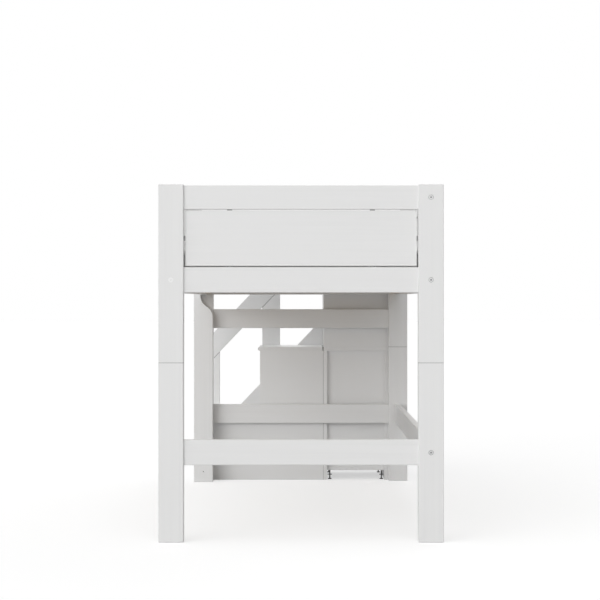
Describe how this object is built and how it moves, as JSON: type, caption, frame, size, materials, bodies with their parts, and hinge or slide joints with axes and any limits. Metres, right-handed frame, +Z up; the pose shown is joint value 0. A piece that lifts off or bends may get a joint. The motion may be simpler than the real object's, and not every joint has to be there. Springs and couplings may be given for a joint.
{
  "type": "loft bed",
  "caption": "Mid-height loft bed with a slatted deck, mattress and guard panels on split posts, and a staircase at its far end with lidded bins, a cabinet and a sloping handrail.",
  "frame": {"origin": "on the floor, in the middle of the overall width and length", "axes": "+X across the bed towards the wall side, +Y along the bed from the near end towards the stairs, +Z up"},
  "size_m": [1.02, 2.505, 1.281],
  "materials": {
    "white_lacquer": "smooth white satin lacquer",
    "pine": "planed, unfinished pine",
    "ticking": "white woven mattress cover",
    "white_plastic": "moulded white plastic",
    "zinc_steel": "bright zinc plate",
    "hinge_steel": "nickel plate",
    "dark_steel": "blackened steel"
  },
  "bodies": {
    "bed": {"barrel_nuts": "zinc_steel", "bin_floors": "white_lacquer", "bolt_cap": "white_plastic", "cabinet_back_panel": "white_lacquer", "cabinet_shelves": "white_lacquer", "cabinet_side_boards": "white_lacquer", "dowels": "pine", "entry_post": "white_lacquer", "far_bed_rail": "white_lacquer", "far_guard_panel": "white_lacquer", "far_lower_rail": "white_lacquer", "far_mid_rail": "white_lacquer", "far_top_rail": "white_lacquer", "frame_bolts": "zinc_steel", "front_bed_rail": "white_lacquer", "front_guard_board": "white_lacquer", "front_guard_uprights": "white_lacquer", "guard_boards": "white_lacquer", "guard_handrail": "white_lacquer", "guard_mid_post": "white_lacquer", "guard_newel": "white_lacquer", "guard_platform_posts": "white_lacquer", "hinge_fixed_leaves": "hinge_steel", "hinge_pins": "hinge_steel", "mattress": "ticking", "near_bed_rail": "white_lacquer", "near_end_panel": "white_lacquer", "near_lower_rail": "white_lacquer", "near_top_rail": "white_lacquer", "niche_back": "white_lacquer", "niche_lip": "white_lacquer", "notched_upright": "white_lacquer", "panel_pegs": "white_plastic", "post_far_left_lower": "white_lacquer", "post_far_left_upper": "white_lacquer", "post_far_right_lower": "white_lacquer", "post_far_right_upper": "white_lacquer", "post_near_left_lower": "white_lacquer", "post_near_left_upper": "white_lacquer", "post_near_right_lower": "white_lacquer", "post_near_right_upper": "white_lacquer", "slat_ledges": "pine", "slats": "pine", "stair_side_far": "white_lacquer", "stair_side_near": "white_lacquer", "step_1_riser": "white_lacquer", "step_2_riser": "white_lacquer", "step_3_tread": "white_lacquer", "wall_bed_rail": "white_lacquer", "wall_lower_rail": "white_lacquer", "wall_side_panel": "white_lacquer", "wall_top_rail": "white_lacquer"},
    "step_1_lid": {"step_1_lid": "white_lacquer", "step_1_hinge_leaves": "hinge_steel"},
    "step_2_lid": {"step_2_lid": "white_lacquer", "step_2_hinge_leaves": "hinge_steel"},
    "foot_near_left": {"foot_near_left": "dark_steel"},
    "foot_near_right": {"foot_near_right": "dark_steel"},
    "foot_far_left": {"foot_far_left": "dark_steel"},
    "foot_far_right": {"foot_far_right": "dark_steel"}
  },
  "joints": [
    {"name": "step_1_lid_hinge", "type": "hinge", "parent": "bed", "child": "step_1_lid", "pos_m": [-0.2005, 1.033, 0.3178], "axis": [0, 1, 0], "range_deg": [0, 80]},
    {"name": "step_2_lid_hinge", "type": "hinge", "parent": "bed", "child": "step_2_lid", "pos_m": [0.106, 1.033, 0.6378], "axis": [0, 1, 0], "range_deg": [0, 80]},
    {"name": "foot_near_left_screw", "type": "slide", "parent": "bed", "child": "foot_near_left", "axis": [0, 0, 1], "range_m": [-0.008, 0.01]},
    {"name": "foot_near_right_screw", "type": "slide", "parent": "bed", "child": "foot_near_right", "axis": [0, 0, 1], "range_m": [-0.008, 0.01]},
    {"name": "foot_far_left_screw", "type": "slide", "parent": "bed", "child": "foot_far_left", "axis": [0, 0, 1], "range_m": [-0.008, 0.01]},
    {"name": "foot_far_right_screw", "type": "slide", "parent": "bed", "child": "foot_far_right", "axis": [0, 0, 1], "range_m": [-0.008, 0.01]}
  ]
}
